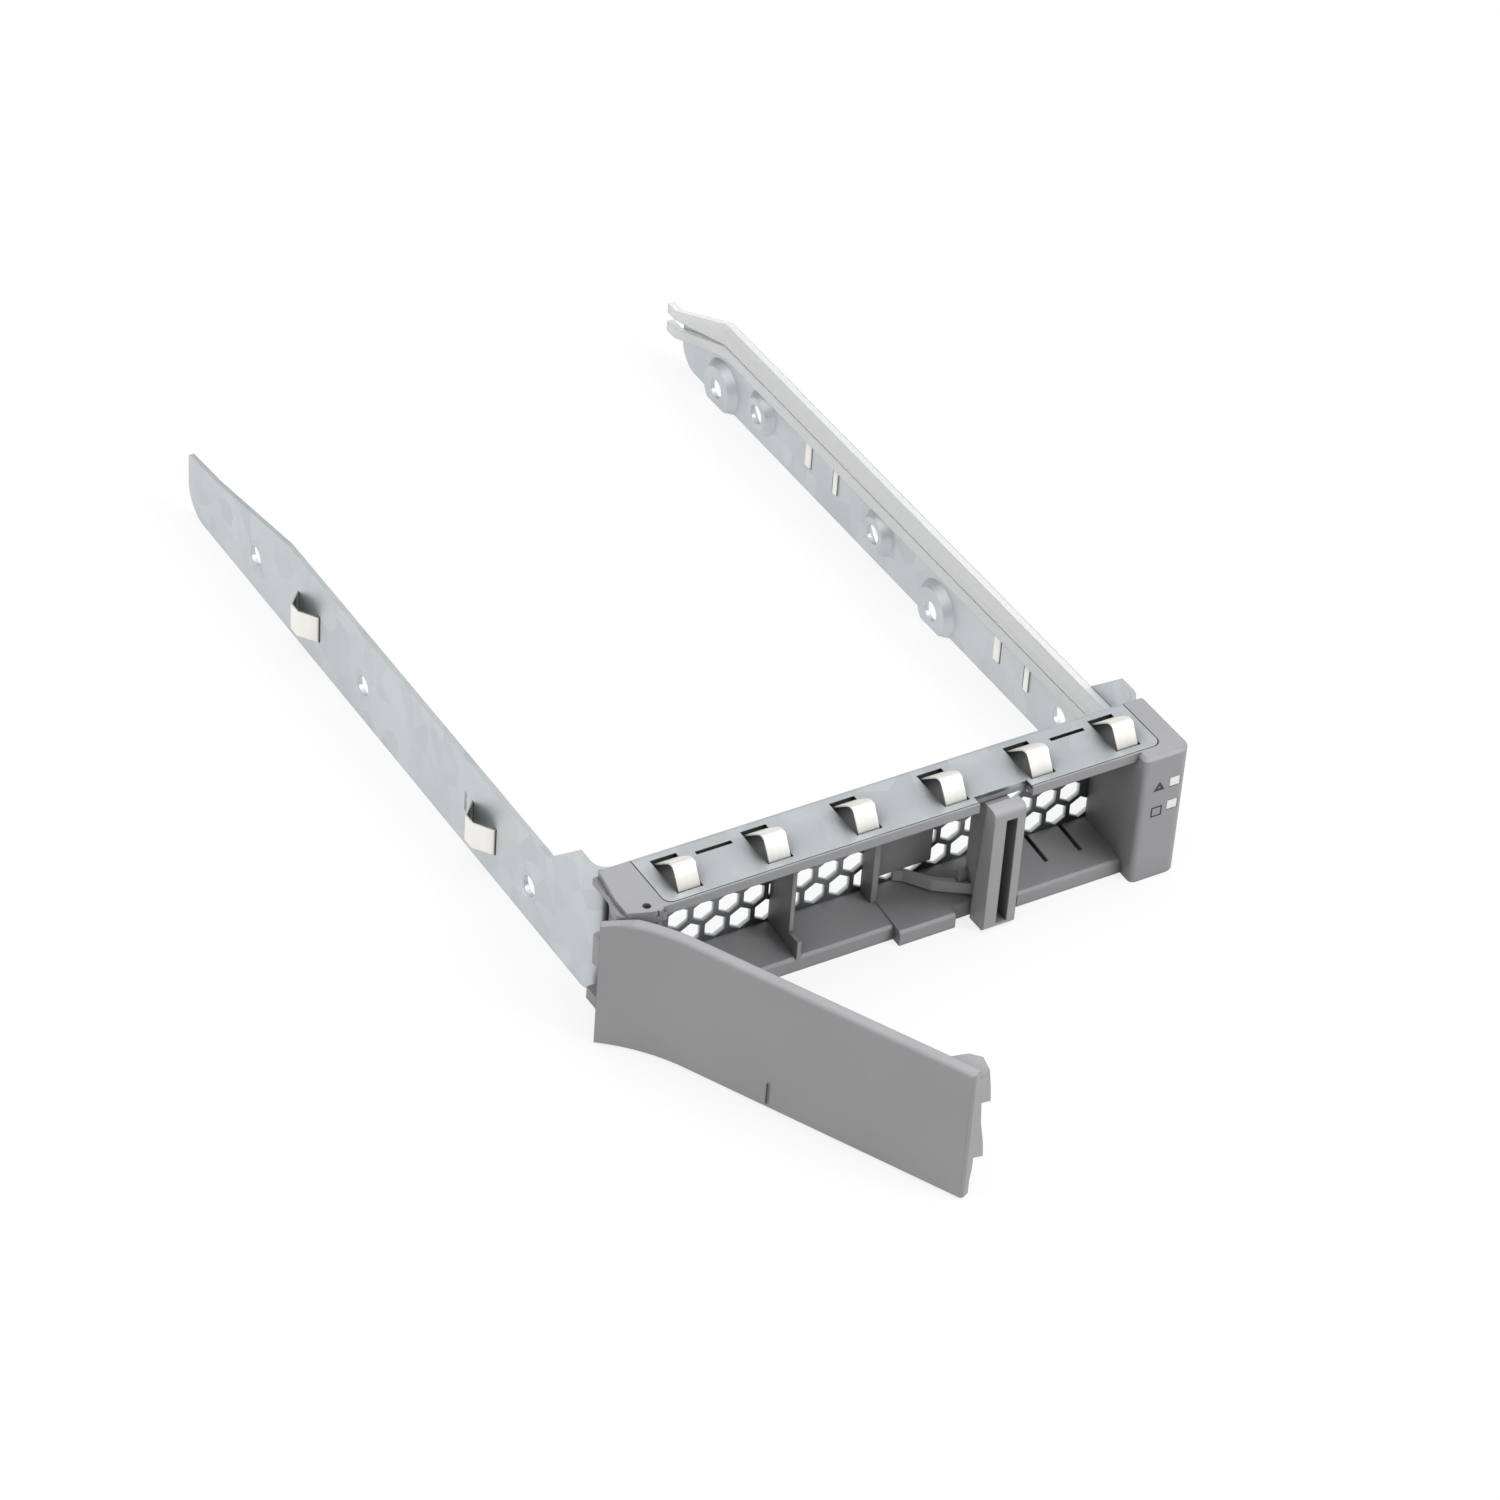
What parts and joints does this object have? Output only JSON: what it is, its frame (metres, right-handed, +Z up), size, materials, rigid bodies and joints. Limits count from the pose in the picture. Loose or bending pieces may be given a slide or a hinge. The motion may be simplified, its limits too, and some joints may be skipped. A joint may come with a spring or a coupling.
{
  "type": "hard drive caddy",
  "caption": "Hot-swap drive caddy: a folded steel cage with two side rails, a moulded bezel with a swing-out ejector lever and slide latch, clear light guides and sprung grounding fingers.",
  "frame": {"origin": "bottom centre of the caddy's box, with the lever open as it rests", "axes": "+X to the right along the bezel, +Y back along the drive, +Z up"},
  "size_m": [0.1132, 0.2258, 0.0297],
  "materials": {
    "galvanised_steel": "satin galvanised sheet",
    "grey_plastic": "fine moulded grain",
    "clear_plastic": "clear polished",
    "spring_nickel": "bright nickel",
    "pin_steel": "satin"
  },
  "bodies": {
    "caddy": {"drive_cage": "galvanised_steel", "bezel": "grey_plastic", "hinge_pin": "pin_steel", "lever_spring": "pin_steel", "light_guide_upper": "clear_plastic", "light_guide_lower": "clear_plastic", "emi_finger_1": "spring_nickel", "emi_finger_2": "spring_nickel", "emi_finger_3": "spring_nickel", "emi_finger_4": "spring_nickel", "emi_finger_5": "spring_nickel", "emi_finger_6": "spring_nickel", "left_rear_clip": "spring_nickel", "left_front_clip": "spring_nickel", "right_rear_clip": "spring_nickel", "right_front_clip": "spring_nickel", "bezel_screw_left": "pin_steel", "bezel_screw_right": "pin_steel"},
    "lever": {"lever": "grey_plastic"},
    "latch": {"latch": "grey_plastic"}
  },
  "joints": [
    {"name": "lever_hinge", "type": "hinge", "parent": "caddy", "child": "lever", "pos_m": [-0.04837, -0.05533, 0.013], "axis": [0, 0, 1], "range_deg": [0, 62.8], "stiffness_Nm_per_rad": 0.02, "springref_deg": -17.19},
    {"name": "latch_slide", "type": "slide", "parent": "caddy", "child": "latch", "axis": [1, 0, 0], "range_m": [0, 0.0016], "stiffness_N_per_m": 400, "springref_m": -0.0003}
  ]
}
